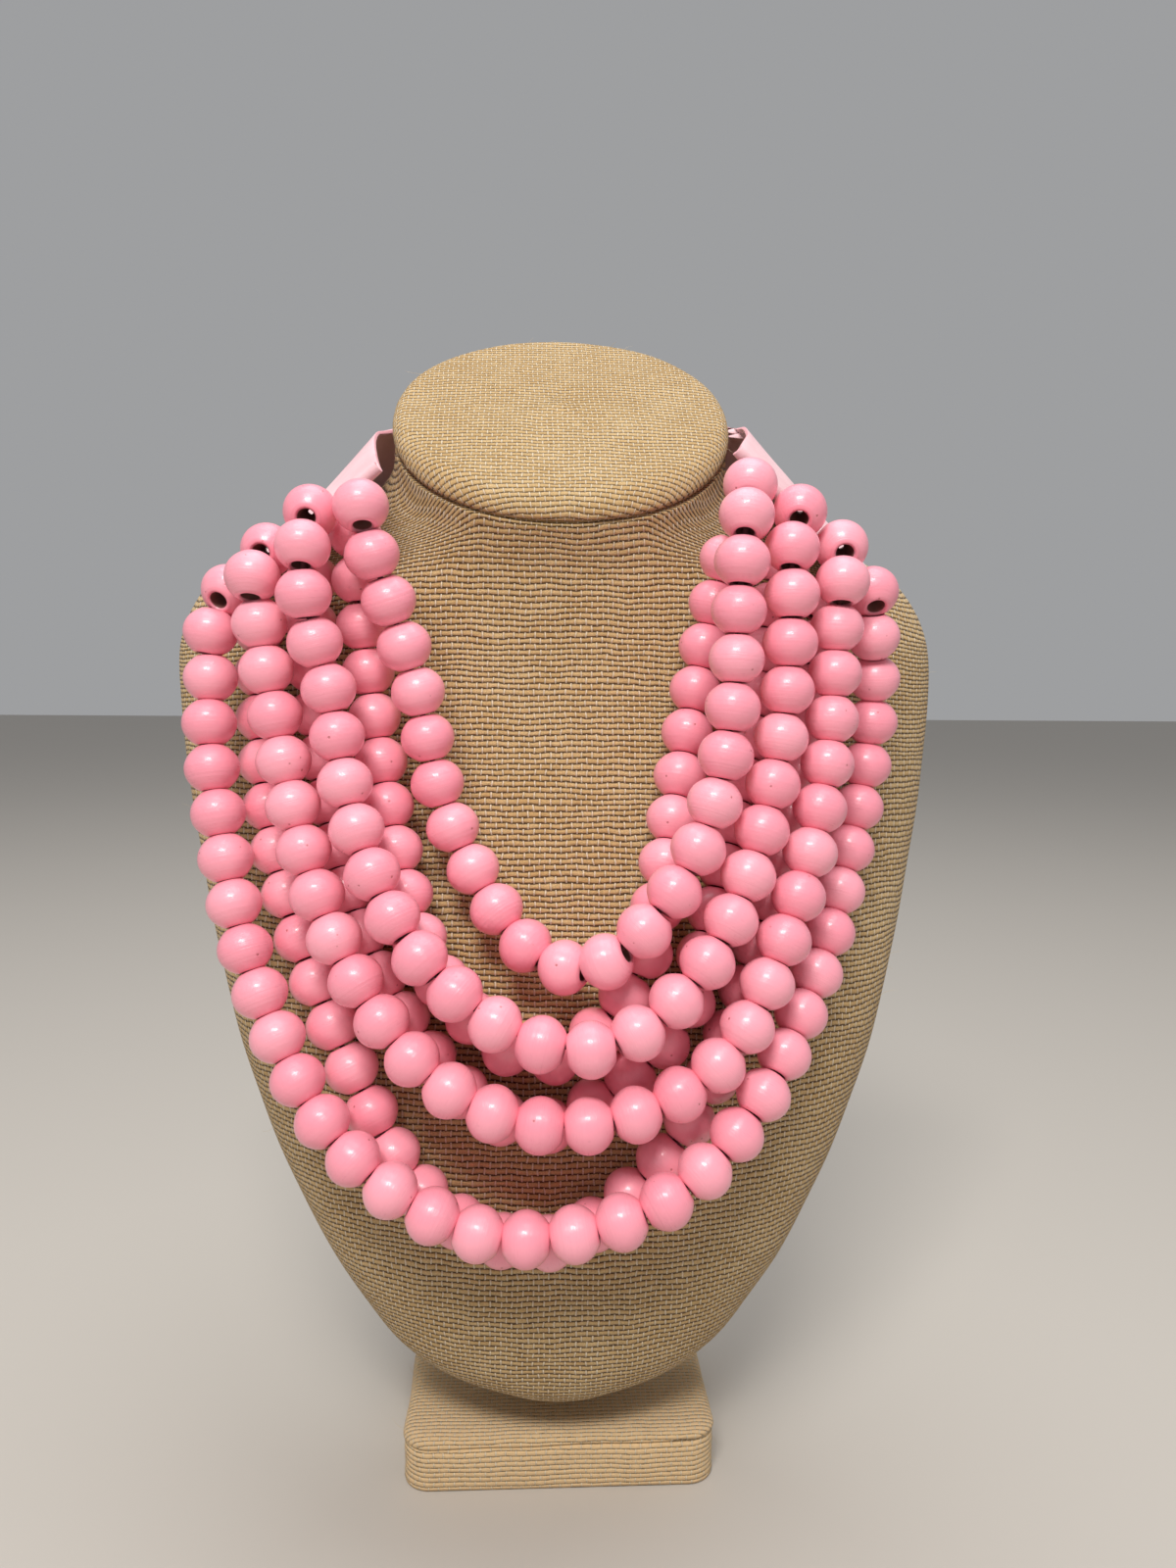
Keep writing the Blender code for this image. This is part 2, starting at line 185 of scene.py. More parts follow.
burlap = {
    "warpPitch": 0.00165,
    "weftPitch": 0.00186,
    "driftAcross": 0.0022,
    "driftUp": 0.0030,
    "jute": (0.64, 0.415, 0.170),
    "juteLight": (0.82, 0.59, 0.30),
    "juteDark": (0.40, 0.24, 0.10),
    "bleached": (0.88, 0.62, 0.34),
    "stain": (0.42, 0.20, 0.075),
    "warpYarn": (0.93, 0.80, 0.62),
    "warpShade": (0.62, 0.49, 0.32),
    # gap: the dark backing seen between the yarns, which is also the colour of the painted shade in the
    # weave
    "gap": (0.060, 0.027, 0.008),
    "relief": 0.00100,
}


def makeWeaveGroup():
    # Thick weft rows of jute with thin pale warp yarns over every other row.
    group, given, sink = newGroup("jute weave", [
        ("Place", "Vector", None), ("Slack", "Float", 1.0), ("Pale", "Float", 0.0), ("TightWithLessShade", "Float", 0.0),
    ], [("Color", "Color"), ("Height", "Float"), ("Roughness", "Float")])
    place = given["Place"]
    u, v, w = split(group, place)
    _, drift = grain(group, place, 62.0, 2.0, 0.55)
    driftU, driftV, _ = split(group, drift)
    slack = given["Slack"]
    col = (u + (driftU - 0.5) * slack * burlap["driftAcross"]) / burlap["warpPitch"]
    row = (v + (driftV - 0.5) * slack * burlap["driftUp"]) / burlap["weftPitch"]
    colCell = col.calc("FLOOR")
    rowCell = row.calc("FLOOR")
    across = col.calc("FRACT") - 0.5
    up = row.calc("FRACT") - 0.5
    odd = ((rowCell + colCell) * 0.5).calc("FRACT") * 2.0

    # Each row of jute swells and thins along its length, and its fibres twist.
    slub, _ = grain(group, join(group, u * 0.16, rowCell * 0.37, w), 2200.0, 2.0)
    twisted = join(group, u * 0.8 + v * 0.9, v * 2.4 - u * 0.5, w + rowCell * 0.01)
    fibre, _ = grain(group, twisted, 1700.0, 3.0, 0.7)
    fuzz, _ = grain(group, place, 4200.0, 2.0, 0.7)
    pinch = odd * ramp(group, across.size(), 0.40, 0.03)
    girth = (slub - 0.5) * 0.34 + (fuzz - 0.5) * 0.14 + 0.42 - pinch * 0.03 + given["TightWithLessShade"]
    ratio = up / girth
    body = (ratio * ratio * -1.0 + 1.0).atLeast(0.0).calc("SQRT")
    weft = body * (pinch * -0.26 + 0.78) + (fibre - 0.5) * 0.46 * body

    # The warp arches over one row and dives under the next.
    lean, _ = grain(group, join(group, colCell * 0.31, v * 0.30, w + 3.0), 900.0, 1.0)
    tilt, _ = grain(group, join(group, colCell * 0.73, rowCell * 0.41, w + 5.0), 1.0, 0.0)
    aside = (across + (lean - 0.5) * 0.34 + (tilt - 0.5) * up * 0.5) / ((fuzz - 0.5) * 0.05 + 0.15)
    thread = (aside * aside * -1.0 + 1.0).atLeast(0.0).calc("SQRT")
    arch = (up * math.pi).calc("COSINE") * 0.50 + 0.55
    dive = ramp(group, up.size(), 0.38, 0.52, -0.9, 0.22)
    warpLevel = odd * (arch - dive) + dive
    warp = (thread * 0.38 + warpLevel) * ramp(group, thread, 0.02, 0.45)
    height = weft.atLeast(warp).atLeast(0.0)
    isWarp = ramp(group, warp - weft, -0.05, 0.16)

    # Colours: a tone for each row, streaks along the fibres, and dark gaps, partly the dark backing seen
    # between the yarns and partly painted shade.
    rowTone, _ = grain(group, join(group, u * 0.05, rowCell * 0.61, w + 1.7), 1300.0, 2.0, 0.6)
    patch, _ = grain(group, place, 26.0, 3.0, 0.6)
    tone = ramp(group, rowTone + (patch - 0.5) * 0.5, 0.28, 0.72)
    jute = blendColour(group, tone, burlap["jute"], burlap["juteLight"])
    streak = ramp(group, fibre, 0.30, 0.62)
    jute = blendColour(group, streak * 0.75 + 0.25, burlap["juteDark"], jute)
    stain, _ = grain(group, join(group, u, v * 1.6, w + 9.0), 330.0, 2.0, 0.5)
    jute = blendColour(group, ramp(group, stain, 0.66, 0.80, 0.0, 0.35), jute, burlap["stain"])
    jute = blendColour(group, given["Pale"], jute, burlap["bleached"])
    yarn = blendColour(group, ramp(group, fuzz, 0.30, 0.70), burlap["warpShade"], burlap["warpYarn"])
    cloth = blendColour(group, isWarp, jute, yarn)
    # Painted shade: the lower the weave's height, the nearer its colour goes to the dark gap colour, so row
    # edges and gaps are darkened like ambient occlusion; the tightness input thickens the rows and also
    # lifts this painted shade.
    shade = ramp(group, height, -0.10, 0.80) + given["TightWithLessShade"] * 2.5
    feed(group, sink.inputs["Color"], blendColour(group, shade, burlap["gap"], cloth))
    feed(group, sink.inputs["Height"], height + (fuzz - 0.5) * 0.12)
    feed(group, sink.inputs["Roughness"], fuzz * 0.12 + 0.82)
    return group


weaveGroup = makeWeaveGroup()


def makeBurlap(name, coordinates, slack=1.0, pale=0.0, tightWithLessShade=0.0):
    sheen = {"Sheen_Weight": 0.12, "Sheen_Roughness": 0.5, "Specular_IOR_Level": 0.25}
    material, tree, shader = newMaterial(name, **sheen)
    place = uvPlace(tree, "weave") if coordinates == "weave" else objectPlace(tree)
    if coordinates == "upright":
        x, y, z = split(tree, place)
        place = join(tree, x + y, z, 0.3)
    cloth = useGroup(tree, weaveGroup, {"Place": place, "Slack": slack, "Pale": pale, "TightWithLessShade": tightWithLessShade})
    feed(tree, shader.inputs["Base Color"], cloth["Color"])
    feed(tree, shader.inputs["Roughness"], cloth["Roughness"])
    addBump(tree, shader, cloth["Height"], burlap["relief"])
    return material


chestBurlap = makeBurlap("chest burlap", "weave")
postBurlap = makeBurlap("post burlap", "upright")
print("burlap ready")


# Mesh helpers

def finishPiece(name, bm, materials, replaced=()):
    # Turns a bmesh into a piece of the object, which replaces its plain solids.
    mesh = bpy.data.meshes.new(name)
    bm.to_mesh(mesh)
    bm.free()
    mesh.shade_smooth()
    for material in materials:
        mesh.materials.append(material)
    piece = bpy.data.objects.new(name, mesh)
    bpy.context.scene.collection.objects.link(piece)
    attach(piece, "root")
    if replaced:
        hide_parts(*replaced)
    return piece


def following(vert, fresh):
    # The new vertex at the other end of one of this vertex's edges.
    return next(edge.other_vert(vert) for edge in vert.link_edges if edge.other_vert(vert) in fresh)


def stackRings(bm, rings):
    # Extrudes a circle from ring to ring, and returns the loops of vertices.
    start = bmesh.ops.create_circle(bm, cap_ends=False, radius=1.0, segments=len(rings[0]))["verts"]
    edges = list(dict.fromkeys(edge for vert in start for edge in vert.link_edges))
    loop = list(start)
    loops = []
    for number, ring in enumerate(rings):
        if number:
            before = loop
            made = bmesh.ops.extrude_edge_only(bm, edges=edges)["geom"]
            edges = [item for item in made if isinstance(item, bmesh.types.BMEdge)]
            fresh = {item for item in made if isinstance(item, bmesh.types.BMVert)}
            edges = [edge for edge in edges if edge.verts[0] in fresh and edge.verts[1] in fresh]
            loop = [following(vert, fresh) for vert in before]
        for vert, point in zip(loop, ring):
            vert.co = point
        loops.append(loop)
    return loops


def catmull(a, b, c, d, t):
    # Smooth value between b and c.
    return b + 0.5 * t * (c - a + t * (2 * a - 5 * b + 4 * c - d + t * (3 * (b - c) + d - a)))


def between(rows, position):
    # The row at a position counted in rows, smooth through its neighbours.
    index = min(int(position), len(rows) - 2)
    near = [rows[max(0, min(len(rows) - 1, index + k))] for k in (-1, 0, 1, 2)]
    return {key: catmull(*(row[key] for row in near), position - index) for key in rows[0]}


# The bust: up, wide, front, back and lean are shares of its sizes

bust = {
    "bottom": 0.034, "neckMiddle": 0.346, "width": 0.258, "front": 0.0635, "back": 0.049, "slope": 0.86,
    "sides": 144, "steps": 8, "tuck": 0.0003, "dents": 0.00035, "dentScale": 38.0, "seam": 0.0008,
    "seamTurn": 0.02, "sink": 0.0006,
    "rows": [
        {"up": 0.000, "wide": 0.250, "front": 0.72, "back": 0.30, "lean": 0.00, "square": 2.0},
        {"up": 0.018, "wide": 0.355, "front": 0.80, "back": 0.36, "lean": 0.00, "square": 2.1},
        {"up": 0.048, "wide": 0.440, "front": 0.87, "back": 0.42, "lean": 0.00, "square": 2.2},
        {"up": 0.087, "wide": 0.510, "front": 0.92, "back": 0.47, "lean": 0.00, "square": 2.2},
        {"up": 0.140, "wide": 0.590, "front": 0.965, "back": 0.53, "lean": 0.00, "square": 2.3},
        {"up": 0.205, "wide": 0.670, "front": 0.99, "back": 0.59, "lean": 0.00, "square": 2.3},
        {"up": 0.287, "wide": 0.755, "front": 0.99, "back": 0.66, "lean": 0.00, "square": 2.3},
        {"up": 0.386, "wide": 0.835, "front": 0.93, "back": 0.73, "lean": 0.00, "square": 2.3},
        {"up": 0.500, "wide": 0.905, "front": 0.79, "back": 0.81, "lean": 0.00, "square": 2.3},
        {"up": 0.616, "wide": 0.965, "front": 0.61, "back": 0.88, "lean": 0.00, "square": 2.25},
        {"up": 0.714, "wide": 1.000, "front": 0.47, "back": 0.93, "lean": 0.03, "square": 2.2},
        {"up": 0.780, "wide": 1.000, "front": 0.41, "back": 0.95, "lean": 0.10, "square": 2.2},
        {"up": 0.830, "wide": 0.950, "front": 0.39, "back": 0.96, "lean": 0.20, "square": 2.0},
        {"up": 0.862, "wide": 0.865, "front": 0.385, "back": 0.96, "lean": 0.31, "square": 1.9},
        {"up": 0.890, "wide": 0.700, "front": 0.39, "back": 0.96, "lean": 0.42, "square": 1.9},
        {"up": 0.918, "wide": 0.545, "front": 0.41, "back": 0.97, "lean": 0.55, "square": 2.0},
        {"up": 0.955, "wide": 0.452, "front": 0.44, "back": 0.98, "lean": 0.76, "square": 2.1},
        {"up": 1.000, "wide": 0.436, "front": 0.48, "back": 1.00, "lean": 1.00, "square": 2.1},
    ],
}


def bustPoint(row, angle, outward=0.0, lift=0.0):
    # A point of the bust's outline at this row, moved outward and lifted.
    front = bust["front"] * row["front"]
    back = bust["back"] * row["back"]
    c = math.cos(angle)
    s = math.sin(angle)
    x = (0.5 * bust["width"] * row["wide"] + outward) * math.copysign(abs(c) ** (2 / row["square"]), c)
    y = (0.5 * (front + back) + outward) * math.copysign(abs(s) ** (2 / row["square"]), s)
    height = bust["bottom"] + (bust["neckMiddle"] - bust["bottom"]) * row["up"] + lift
    return Vector((x, 0.5 * (back - front) + y, height + bust["slope"] * row["lean"] * y))


def ringTurns(count):
    # Angles round a ring, from the middle of the back over the left side and the front.
    return [0.5 * math.pi + 2 * math.pi * i / count for i in range(count)]


def layCloth(bm, loops, placeOf):
    # Gives each corner its cloth coordinates: placeOf takes its ring, its point and its face's top ring.
    layer = bm.loops.layers.uv.new("weave")
    count = len(loops[0])
    known = {vert: (number, i) for number, loop in enumerate(loops) for i, vert in enumerate(loop)}
    for face in bm.faces:
        where = [known.get(vert) for vert in face.verts]
        if None in where:
            continue
        wraps = any(i == count - 1 for _, i in where) and any(i == 0 for _, i in where)
        top = max(number for number, _ in where)
        for corner in face.loops:
            number, i = known[corner.vert]
            corner[layer].uv = placeOf(number, count if wraps and i == 0 else i, top)


def alongRing(loop):
    # Distances along a ring from its middle at the front.
    found = [0.0]
    for i in range(len(loop)):
        found.append(found[-1] + (loop[(i + 1) % len(loop)].co - loop[i].co).length)
    return [distance - found[len(loop) // 2] for distance in found]


def makeBust():
    rows = bust["rows"]
    last = len(rows) - 1
    count = bust["sides"]
    turns = ringTurns(count)
    rings = []
    for step in range(last * bust["steps"] + 1):
        row = between(rows, step / bust["steps"])
        ring = []
        for angle in turns:
            soft = noise.noise(bustPoint(row, angle) * bust["dentScale"]) * bust["dents"]
            seam = bust["seam"] * math.exp(-((angle - turns[0]) / bust["seamTurn"]) ** 2)
            ring.append(bustPoint(row, angle, soft - bust["tuck"] - seam))
        rings.append(ring)
    low = sum(rings[0], Vector()) / count
    high = sum(rings[-1], Vector()) / count
    sunk = Vector((0, 0, bust["sink"]))
    underside = [[point.lerp(low, share) - sunk for point in rings[0]] for share in (0.7, 0.35)]
    bm = bmesh.new()
    loops = stackRings(bm, underside + rings + [[point.lerp(high, 0.6) for point in rings[-1]]])
    along = [alongRing(loop) for loop in loops]
    climb = [[0.0] * (count + 1) for _ in loops]
    nape = [[0.0] * (count + 1) for _ in loops]  # how much longer the neck is at its back
    rear = [max(0.0, math.cos(math.tau * i / count)) for i in range(count + 1)]
    late = [max(0.0, min(1.0, (number / len(loops) - 0.55) / 0.1)) for number in range(len(loops))]
    for number in range(1, len(loops)):
        steps = [(a.co - b.co).length for a, b in zip(loops[number], loops[number - 1])]
        for i in range(count + 1):
            climb[number][i] = climb[number - 1][i] + steps[i % count]
            longer = steps[i % count] - steps[count // 2]
            nape[number][i] = nape[number - 1][i] + late[number] * rear[i] * longer

    def placeOf(number, i, _):
        # Level rows in front, which follow the shoulders and the nape further back.
        side = max(0.0, (abs(math.cos(turns[i % count])) - 0.35) / 0.65)
        share = 0.5 * late[number] * side * side * (3 - 2 * side) * (1 - rear[i])
        front = climb[number][count // 2]
        return along[number][i], front + share * (climb[number][i] - front) + nape[number][i]

    layCloth(bm, loops, placeOf)
    closeEnds(bm)
    return finishPiece("bust_cover", bm, [chestBurlap], ["bust_torso"])


def closeEnds(bm):
    bmesh.ops.holes_fill(bm, edges=[edge for edge in bm.edges if edge.is_boundary], sides=0)
    bmesh.ops.recalc_face_normals(bm, faces=bm.faces)


# The padded disc that closes the neck: how far each ring stands out, and its rise

cap = {
    "gap": 0.0003, "dome": 0.0011, "wave": 0.25, "inner": (0.08, 0.25, 0.45, 0.65, 0.82, 0.93),
    "clothStart": 0.4,
    "rim": [
        (-0.0060, 0.0000), (-0.0020, 0.0001), (-0.0008, 0.0005), (0.0001, 0.0013), (0.0006, 0.0024),
        (0.0007, 0.0036), (0.0003, 0.0049), (-0.0006, 0.0060), (-0.0018, 0.0067), (-0.0034, 0.0071),
    ],
}


def makeCap():
    turns = ringTurns(bust["sides"])
    top = bust["rows"][-1]
    slant = math.hypot(1.0, bust["slope"])
    rings = []
    for outward, rise in cap["rim"]:
        ring = []
        for angle in turns:
            spot = Vector((math.cos(angle) * 3, math.sin(angle) * 3, rise * 200))
            wave = 1 + cap["wave"] * noise.noise(spot)
            ring.append(bustPoint(top, angle, outward * wave, (cap["gap"] + rise) * slant))
        rings.append(ring)
    centre = sum(rings[-1], Vector()) / len(turns)
    for share in reversed(cap["inner"]):
        lift = Vector((0.0, 0.0, cap["dome"] * (1 - share * share) * slant))
        rings.append([centre.lerp(point, share) + lift for point in rings[len(cap["rim"]) - 1]])
    bm = bmesh.new()
    loops = stackRings(bm, rings)
    out = [[0.0] * len(turns) for _ in loops]
    for number in range(len(loops) - 1, -1, -1):
        for i, vert in enumerate(loops[number]):
            inner = loops[number + 1][i].co if number + 1 < len(loops) else centre
            before = out[number + 1][i] if number + 1 < len(loops) else 0.0
            out[number][i] = before + (vert.co - inner).length

    def placeOf(number, i, _):
        i = i % len(turns)
        spoke = rings[len(cap["rim"]) - 1][i] - centre
        way = math.atan2(spoke.y * slant, spoke.x)
        return cap["clothStart"] + out[number][i] * math.cos(way), out[number][i] * math.sin(way)

    layCloth(bm, loops, placeOf)
    closeEnds(bm)
    return finishPiece("cap_cover", bm, [capBurlap], ["neck_cap"])


# The base block: the inset and the height of each ring of its cover

base = {
    "width": 0.103, "depth": 0.080, "height": 0.019, "corner": 0.009, "cornerSteps": 9, "edgeSteps": 22,
    "crease": 0.0149, "creaseWidth": 0.0030, "tilt": 0.016, "wave": 0.0007, "swell": 0.0005,
    "sideStart": 0.9, "topStart": 1.2, "sideStretch": 1.1,
    "rings": [
        (0.0014, 0.0000), (0.0003, 0.0004), (0.0001, 0.0014), (0.0, 0.0045), (0.0, 0.0085), (0.0, 0.0115),
        (0.0002, 0.0136), (0.0005, 0.0144), (0.0016, 0.0149), (0.0002, 0.0152), (-0.0002, 0.0160),
        (0.0000, 0.0169), (0.0006, 0.0178), (0.0017, 0.0185), (0.0032, 0.0189), (0.0056, 0.0190),
        (0.0110, 0.0190), (0.0180, 0.0190), (0.0280, 0.0190), (0.0370, 0.0190),
    ],
}


def baseRing(inset, height):
    # A rounded rectangle, starting from the middle of its back edge and going over the left.
    halfWidth = 0.5 * base["width"] - inset
    halfDepth = 0.5 * base["depth"] - inset
    corner = max(0.0006, min(base["corner"] - inset, halfDepth - 0.0003))
    points = []
    corners = [(-1, 1, 90), (-1, -1, 180), (1, -1, 270), (1, 1, 0)]
    for sideX, sideY, start in corners:
        for k in range(base["cornerSteps"] + 1):
            turn = math.radians(start + 90 * k / base["cornerSteps"])
            x = sideX * (halfWidth - corner) + corner * math.cos(turn)
            y = sideY * (halfDepth - corner) + corner * math.sin(turn)
            points.append(Vector((x, y, height)))
    ring = []
    for a, b in zip(points, points[1:] + points[:1]):
        ring.append(a)
        if (b - a).length > 0.004 or a.x * b.x < 0 or a.y * b.y < 0:
            ring += [a.lerp(b, k / base["edgeSteps"]) for k in range(1, base["edgeSteps"])]
    start = max(range(len(ring)), key=lambda i: ring[i].y - abs(ring[i].x) * 3)
    return ring[start:] + ring[:start]


def makeBase():
    rings = []
    for inset, height in base["rings"]:
        ring = baseRing(inset, height)
        for point in ring:
            near = math.exp(-((height - base["crease"]) / base["creaseWidth"]) ** 2)
            wave = base["wave"] * noise.noise(Vector((point.x * 45, point.y * 45, 2.0)))
            point.z += near * (point.x * base["tilt"] + wave)
            if 0.002 < height < 0.0185:
                swell = base["swell"] * noise.noise(Vector((point.x * 40, point.y * 40, height * 60)))
                point.x += swell * (1 if point.x > 0 else -1)
                point.y += swell * (1 if point.y > 0 else -1)
        rings.append(ring)
    bm = bmesh.new()
    loops = stackRings(bm, rings)
    along = alongRing(loops[3])
    outward = [(a - b).normalized() for a, b in zip(baseRing(0.0, 0.0), baseRing(0.006, 0.0))]
    firstTop = [height for _, height in base["rings"]].index(base["crease"])

    def placeOf(number, i, top):
        point = loops[number][i % len(outward)].co
        if top <= firstTop:
            return base["sideStart"] + along[i], point.z * base["sideStretch"]
        drop = outward[i % len(outward)] * (base["height"] - point.z)
        return base["topStart"] + point.x + drop.x, point.y + drop.y

    layCloth(bm, loops, placeOf)
    closeEnds(bm)
    return finishPiece("base_cover", bm, [baseBurlap], ["base_block"])


capBurlap = makeBurlap("cap burlap", "weave", 0.9, 0.0, 0.03)
baseBurlap = makeBurlap("base burlap", "weave", 0.6, 0.85, 0.08)
bustCover = makeBust()
capCover = makeCap()
baseCover = makeBase()
nodes["stand_post"].data.materials.clear()
nodes["stand_post"].data.materials.append(postBurlap)
print("bust, cap and base covered")

# Stray jute fibres that stand out of the cloth

fibres = {
    "count": 1500, "shortest": 0.0007, "longest": 0.0070, "thick": 0.000055, "joints": 5,
    "largestFace": 0.0002, "root": 0.0003, "dark": (0.50, 0.36, 0.19), "light": (0.80, 0.68, 0.47),
}


def makeFibre():
    # A thin thread of three sides, which each use bends in its own way.
    bm = bmesh.new()
    stackRings(bm, [[Vector((k, side, 0)) for side in range(3)] for k in range(fibres["joints"])])
    bmesh.ops.holes_fill(bm, edges=[edge for edge in bm.edges if edge.is_boundary], sides=0)
    joint = bm.verts.layers.int.new("joint")
    for vert in bm.verts:
        vert[joint] = round(vert.co.x) * 3 + round(vert.co.y)
    mesh = bpy.data.meshes.new("fibre")
    bm.to_mesh(mesh)
    bm.free()
    return mesh


def makeFibres():
    random.seed(11)
    material, tree, shader = newMaterial("stray jute", Roughness=0.8)
    tone, _ = grain(tree, objectPlace(tree), 900.0, 1.0)
    feed(tree, shader.inputs["Base Color"], blendColour(tree, tone, fibres["dark"], fibres["light"]))
    fibre = makeFibre()
    places = [item.value for item in fibre.attributes["joint"].data]
    bm = bmesh.new()
    for cover, share in ((bustCover, 0.66), (capCover, 0.20), (baseCover, 0.14)):
        faces = [face for face in cover.data.polygons if face.area < fibres["largestFace"]]
        faces.sort(key=lambda face: [round(value, 6) for value in face.center])  # same order in every run
        areas = [face.area for face in faces]
        chosen = random.choices(faces, weights=areas, k=int(fibres["count"] * share))
        for face in chosen:
            normal = face.normal.copy()
            sideways = normal.cross(Vector([random.uniform(-1, 1) for _ in range(3)])).normalized()
            length = fibres["longest"] * random.random() ** 3.2 + fibres["shortest"]
            heading = (sideways + normal * random.uniform(0.15, 1.2)).normalized()
            bend = Vector([random.uniform(-1, 1) for _ in range(3)]) * 0.5
            point = face.center - normal * fibres["root"]
            rings = []
            for joint in range(fibres["joints"]):
                first = heading.cross(normal).normalized()
                other = heading.cross(first)
                radius = fibres["thick"] * (1 - 0.7 * joint / (fibres["joints"] - 1))
                for t in (0.0, 2.1, 4.2):
                    rings.append(point + (first * math.cos(t) + other * math.sin(t)) * radius)
                point = point + heading * length / (fibres["joints"] - 1)
                heading = (heading + bend * 0.5 - normal * 0.12).normalized()
            bm.from_mesh(fibre)
            bm.verts.ensure_lookup_table()
            for vert, place in zip(bm.verts[-len(places):], places):
                vert.co = rings[place]
    bmesh.ops.recalc_face_normals(bm, faces=bm.faces)
    finishPiece("stray_fibres", bm, [material])


makeFibres()
print("fibres ready")

# Leather tabs: each row's way round the neck, its distance from it, its height and its width

tab = {
    "width": 0.061, "drop": 0.020, "stand": 0.0036, "leather": 0.0012, "hem": 0.0013, "clear": 0.0015,
    "clasp": 0.016, "gap": 0.0003, "across": 26, "flap": 0.0030, "wave": 0.00035, "waveScale": 42.0,
    "thinFlap": 0.55, "rounding": 0.0003, "relief": 0.00022,
    "rows": [
        {"way": 0.00, "off": 1.80, "rise": -1.05, "ahead": 1.45, "skew": 0.30, "width": 0.98, "splay": 53},
        {"way": 0.10, "off": 1.60, "rise": -0.50, "ahead": 0.80, "skew": 0.15, "width": 0.97, "splay": 47},
        {"way": 0.20, "off": 1.40, "rise": -0.05, "ahead": 0.30, "skew": 0.05, "width": 0.92, "splay": 41},
        {"way": 0.37, "off": 1.10, "rise": 0.15, "ahead": 0.00, "skew": 0.00, "width": 0.72, "splay": 36},
        {"way": 0.56, "off": 0.90, "rise": 0.25, "ahead": 0.00, "skew": 0.00, "width": 0.48, "splay": 28},
        {"way": 0.78, "off": 0.75, "rise": 0.35, "ahead": 0.00, "skew": 0.00, "width": 0.32, "splay": 10},
        {"way": 1.00, "off": 0.75, "rise": 0.40, "ahead": 0.00, "skew": 0.00, "width": 0.28, "splay": 0},
    ],
    "sides": {
        "leather_tab_left": {"side": -1, "turn": math.radians(-24), "lift": 0.000, "reach": 0.05},
        "leather_tab_right": {"side": 1, "turn": math.radians(-30), "lift": 0.004, "reach": 0.10},
    },
}
torsoMesh = nodes["bust_torso"].data
torsoTree = BVHTree.FromPolygons(
    [vert.co for vert in torsoMesh.vertices], [face.vertices for face in torsoMesh.polygons])


def tabEdges(place, position):
    # Both edges of a tab's section: the one next to the neck, and the outer one.
    row = between(tab["rows"], position)
    top = bust["rows"][-1]
    front = bust["front"] * top["front"]
    back = bust["back"] * top["back"]
    stand = tab["stand"] * row["off"]
    reachX = 0.5 * bust["width"] * top["wide"] + stand
    reachY = 0.5 * (back + front) + stand
    endTurn = math.acos((0.5 * tab["clasp"] + tab["gap"]) / reachX)
    turn = place["turn"] + (endTurn - place["turn"]) * row["way"]
    height = bust["neckMiddle"] + tab["drop"] * row["rise"] + place["lift"] * (1 - row["way"])
    depth = 0.5 * (back - front) + reachY * math.sin(turn) - tab["drop"] * row["ahead"]
    inner = Vector((place["side"] * reachX * math.cos(turn), depth, height))
    splay = math.radians(row["splay"])
    lean = math.sin(turn) * min(1.0, 4 * row["way"]) + row["skew"]
    level = Vector((place["side"] * math.cos(turn), lean, 0.0))
    down = level * math.sin(splay) - Vector((0.0, 0.0, math.cos(splay)))
    return inner, inner + tab["width"] * row["width"] * down


def tabPoint(place, position, share):
    # A point of the tab's middle surface, clear of the bust.
    inner, outer = tabEdges(place, position)
    point = inner.lerp(outer, share)
    near, normal, _, _ = torsoTree.find_nearest(point)
    clear = 0.5 * tab["leather"] + tab["clear"]
    return point if (point - near).dot(normal) >= clear else near + normal * clear


def hemCurl(place, share):
    # The hem's turning centre at this share of its width, and its two directions.
    point = tabPoint(place, 0.0, share)
    along = (point - tabPoint(place, 0.5, share)).normalized()
    width = tabPoint(place, 0.0, 1.0) - tabPoint(place, 0.0, 0.0)
    outward = width.cross(along).normalized() * -place["side"]
    return point + outward * tab["hem"], along, outward


def hemPoint(place, share, turn, back=0.0):
    # A point of the rolled hem, and of its flap that lies back over the sheet.
    centre, along, outward = hemCurl(place, share)
    angle = math.radians(turn)
    point = centre + tab["hem"] * (outward * math.cos(angle) + along * math.sin(angle))
    return point - along * tab["flap"] * back - outward * tab["hem"] * 0.98 * back ** 1.6


def makeLeatherGroup():
    # Clouded leather with fine creases and pores.
    group, given, sink = newGroup("leather grain", [("Place", "Vector", None)], [
        ("Tone", "Float"), ("Height", "Float"), ("Roughness", "Float")])
    pores, _ = grain(group, given["Place"], 1500.0, 3.0, 0.6)
    creases, _ = grain(group, given["Place"], 260.0, 3.0, 0.6)
    clouds, _ = grain(group, given["Place"], 55.0, 2.0, 0.5)
    feed(group, sink.inputs["Tone"], ramp(group, clouds * 0.7 + creases * 0.3, 0.32, 0.68))
    feed(group, sink.inputs["Height"], pores * 0.35 + creases * 0.65)
    feed(group, sink.inputs["Roughness"], pores * 0.12 + 0.50)
    return group


leatherGroup = makeLeatherGroup()


def makeLeather(name, deep, pale):
    material, tree, shader = newMaterial(name, Specular_IOR_Level=0.35, Sheen_Weight=0.10)
    hide = useGroup(tree, leatherGroup, {"Place": objectPlace(tree)})
    feed(tree, shader.inputs["Base Color"], blendColour(tree, hide["Tone"], deep, pale))
    feed(tree, shader.inputs["Roughness"], hide["Roughness"])
    addBump(tree, shader, hide["Height"], tab["relief"], 0.6)
    return material


leatherFace = makeLeather("pale pink leather", (0.80, 0.49, 0.53), (0.88, 0.58, 0.62))
leatherEdge = makeLeather("leather cut edge", (0.72, 0.33, 0.38), (0.85, 0.46, 0.51))


